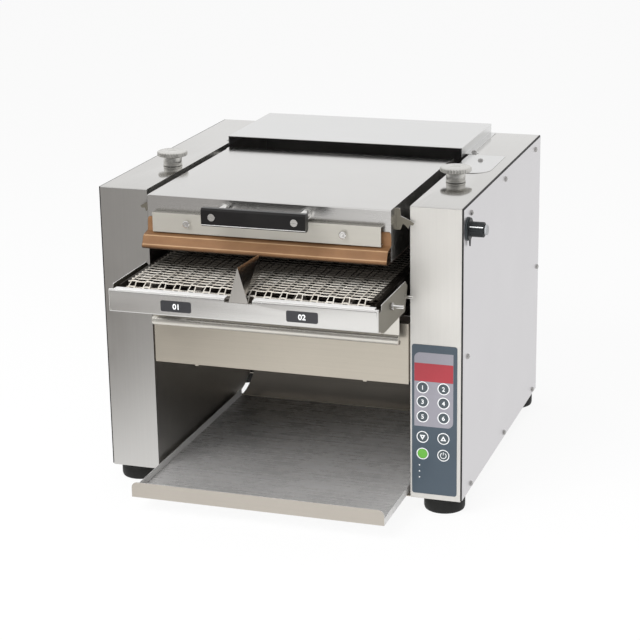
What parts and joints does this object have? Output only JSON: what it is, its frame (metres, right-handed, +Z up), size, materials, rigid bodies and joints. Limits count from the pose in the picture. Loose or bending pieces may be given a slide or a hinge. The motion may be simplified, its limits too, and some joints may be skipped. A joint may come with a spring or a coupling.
{
  "type": "contact bun toaster",
  "caption": "Countertop contact bun toaster: hinged heated platen over a wire mesh belt between two cabinets, feed shelf with lane divider, landing tray, height knobs and keypad.",
  "frame": {"origin": "middle of the bounding box in plan, on the plane the four feet stand on", "axes": "+X to the right seen from the front, +Y to the back, +Z up"},
  "size_m": [0.6338, 0.7428, 0.5256],
  "materials": {
    "stainless_steel": "brushed stainless sheet",
    "bright_fasteners": "polished screws, posts and shafts",
    "turned_steel": "machined steel",
    "belt_wire": "flat wire, heat stained",
    "cast_aluminium": "cast and machined",
    "black_plastic": "moulded, satin",
    "foot_rubber": "moulded rubber",
    "release_fabric": "coated glass cloth, tan",
    "glass_wool": "mineral wool board",
    "keypad_film": "printed film, slate grey",
    "key_dome": "embossed key",
    "display_red": "red tinted window",
    "circuit_board": "board with parts",
    "motor_paint": "dark grey paint",
    "label_film": "dark label"
  },
  "bodies": {
    "frame": {"left_cabinet": "stainless_steel", "right_cabinet": "stainless_steel", "left_side_panel": "stainless_steel", "right_side_panel": "stainless_steel", "base_pan": "stainless_steel", "rear_panel": "stainless_steel", "rear_cover": "stainless_steel", "top_access_plate": "stainless_steel", "lower_front_panel": "stainless_steel", "discharge_chute": "stainless_steel", "left_conveyor_side": "stainless_steel", "right_conveyor_side": "stainless_steel", "feed_shelf": "stainless_steel", "lane_divider": "stainless_steel", "cabinet_screws": "bright_fasteners", "hinge_shaft": "bright_fasteners", "idler_shaft": "turned_steel", "drive_bearings": "turned_steel", "drive_chain": "turned_steel", "conveyor_belt": "belt_wire", "lower_platen": "cast_aluminium", "selector_escutcheon": "black_plastic", "selector_switch": "black_plastic", "cord_gland": "black_plastic", "feet": "foot_rubber", "keypad_overlay": "keypad_film", "display_window": "display_red", "control_board": "circuit_board", "gearmotor": "motor_paint", "shelf_labels": "label_film"},
    "platen": {"platen_housing": "stainless_steel", "upper_platen": "cast_aluminium", "platen_insulation": "glass_wool", "release_sheet": "release_fabric", "clamp_bar": "stainless_steel", "clamp_screws": "bright_fasteners", "handle_grip": "black_plastic", "handle_posts": "bright_fasteners", "handle_screws": "bright_fasteners"},
    "landing_tray": {"landing_tray": "stainless_steel"},
    "crumb_tray": {"crumb_tray": "stainless_steel"},
    "left_knob": {"left_knob": "cast_aluminium"},
    "right_knob": {"right_knob": "cast_aluminium"},
    "left_lift_block": {"left_lift_block": "turned_steel"},
    "right_lift_block": {"right_lift_block": "turned_steel"},
    "selector_knob": {"selector_knob": "black_plastic"},
    "drive_shaft": {"drive_shaft": "turned_steel", "belt_sprockets": "turned_steel"},
    "idler_rollers": {"idler_rollers": "turned_steel"},
    "motor_sprocket": {"motor_sprocket": "turned_steel"},
    "key_1": {"key_1": "key_dome"},
    "key_2": {"key_2": "key_dome"},
    "key_3": {"key_3": "key_dome"},
    "key_4": {"key_4": "key_dome"},
    "key_5": {"key_5": "key_dome"},
    "key_6": {"key_6": "key_dome"},
    "key_down": {"key_down": "key_dome"},
    "key_up": {"key_up": "key_dome"},
    "key_start": {"key_start": "key_dome"},
    "key_power": {"key_power": "key_dome"}
  },
  "joints": [
    {"name": "platen_lift", "type": "hinge", "parent": "frame", "child": "platen", "pos_m": [-0.01385, 0.1364, 0.484], "axis": [-1, 0, 0], "range_deg": [0, 65]},
    {"name": "landing_tray_slide", "type": "slide", "parent": "frame", "child": "landing_tray", "axis": [0, -1, 0], "range_m": [0, 0.2]},
    {"name": "crumb_tray_slide", "type": "slide", "parent": "frame", "child": "crumb_tray", "axis": [0, -1, 0], "range_m": [0, 0.3]},
    {"name": "left_adjuster_turn", "type": "hinge", "parent": "frame", "child": "left_knob", "pos_m": [-0.25725, -0.0306, 0.5], "axis": [0, 0, -1], "range_deg": [0, 1800]},
    {"name": "right_adjuster_turn", "type": "hinge", "parent": "frame", "child": "right_knob", "pos_m": [0.22955, -0.0306, 0.5], "axis": [0, 0, -1], "range_deg": [0, 1800]},
    {"name": "left_lift_slide", "type": "slide", "parent": "frame", "child": "left_lift_block", "axis": [0, 0, -1], "range_m": [0, 0.0075]},
    {"name": "right_lift_slide", "type": "slide", "parent": "frame", "child": "right_lift_block", "axis": [0, 0, -1], "range_m": [0, 0.0075]},
    {"name": "selector_turn", "type": "hinge", "parent": "frame", "child": "selector_knob", "pos_m": [0.28915, -0.1766, 0.464], "axis": [1, 0, 0], "range_deg": [-120, 120]},
    {"name": "drive_spin", "type": "hinge", "parent": "frame", "child": "drive_shaft", "pos_m": [-0.01385, 0.2364, 0.3695], "axis": [1, 0, 0], "continuous": true},
    {"name": "idler_spin", "type": "hinge", "parent": "frame", "child": "idler_rollers", "pos_m": [-0.01385, -0.3306, 0.3695], "axis": [1, 0, 0], "continuous": true},
    {"name": "motor_spin", "type": "hinge", "parent": "frame", "child": "motor_sprocket", "pos_m": [-0.26885, 0.2364, 0.235], "axis": [1, 0, 0], "continuous": true},
    {"name": "key_1_press", "type": "slide", "parent": "frame", "child": "key_1", "axis": [0, 1, 0], "range_m": [0, 0.0004], "stiffness_N_per_m": 1500, "springref_m": -0.0004},
    {"name": "key_2_press", "type": "slide", "parent": "frame", "child": "key_2", "axis": [0, 1, 0], "range_m": [0, 0.0004], "stiffness_N_per_m": 1500, "springref_m": -0.0004},
    {"name": "key_3_press", "type": "slide", "parent": "frame", "child": "key_3", "axis": [0, 1, 0], "range_m": [0, 0.0004], "stiffness_N_per_m": 1500, "springref_m": -0.0004},
    {"name": "key_4_press", "type": "slide", "parent": "frame", "child": "key_4", "axis": [0, 1, 0], "range_m": [0, 0.0004], "stiffness_N_per_m": 1500, "springref_m": -0.0004},
    {"name": "key_5_press", "type": "slide", "parent": "frame", "child": "key_5", "axis": [0, 1, 0], "range_m": [0, 0.0004], "stiffness_N_per_m": 1500, "springref_m": -0.0004},
    {"name": "key_6_press", "type": "slide", "parent": "frame", "child": "key_6", "axis": [0, 1, 0], "range_m": [0, 0.0004], "stiffness_N_per_m": 1500, "springref_m": -0.0004},
    {"name": "key_down_press", "type": "slide", "parent": "frame", "child": "key_down", "axis": [0, 1, 0], "range_m": [0, 0.0004], "stiffness_N_per_m": 1500, "springref_m": -0.0004},
    {"name": "key_up_press", "type": "slide", "parent": "frame", "child": "key_up", "axis": [0, 1, 0], "range_m": [0, 0.0004], "stiffness_N_per_m": 1500, "springref_m": -0.0004},
    {"name": "key_start_press", "type": "slide", "parent": "frame", "child": "key_start", "axis": [0, 1, 0], "range_m": [0, 0.0004], "stiffness_N_per_m": 1500, "springref_m": -0.0004},
    {"name": "key_power_press", "type": "slide", "parent": "frame", "child": "key_power", "axis": [0, 1, 0], "range_m": [0, 0.0004], "stiffness_N_per_m": 1500, "springref_m": -0.0004}
  ],
  "couplings": [
    {"joint": "left_adjuster_turn", "follows": "left_lift_slide", "rad_per_m": 4188.8},
    {"joint": "right_adjuster_turn", "follows": "right_lift_slide", "rad_per_m": 4188.8},
    {"joint": "idler_spin", "follows": "drive_spin", "ratio": 1},
    {"joint": "motor_spin", "follows": "drive_spin", "ratio": 1}
  ]
}
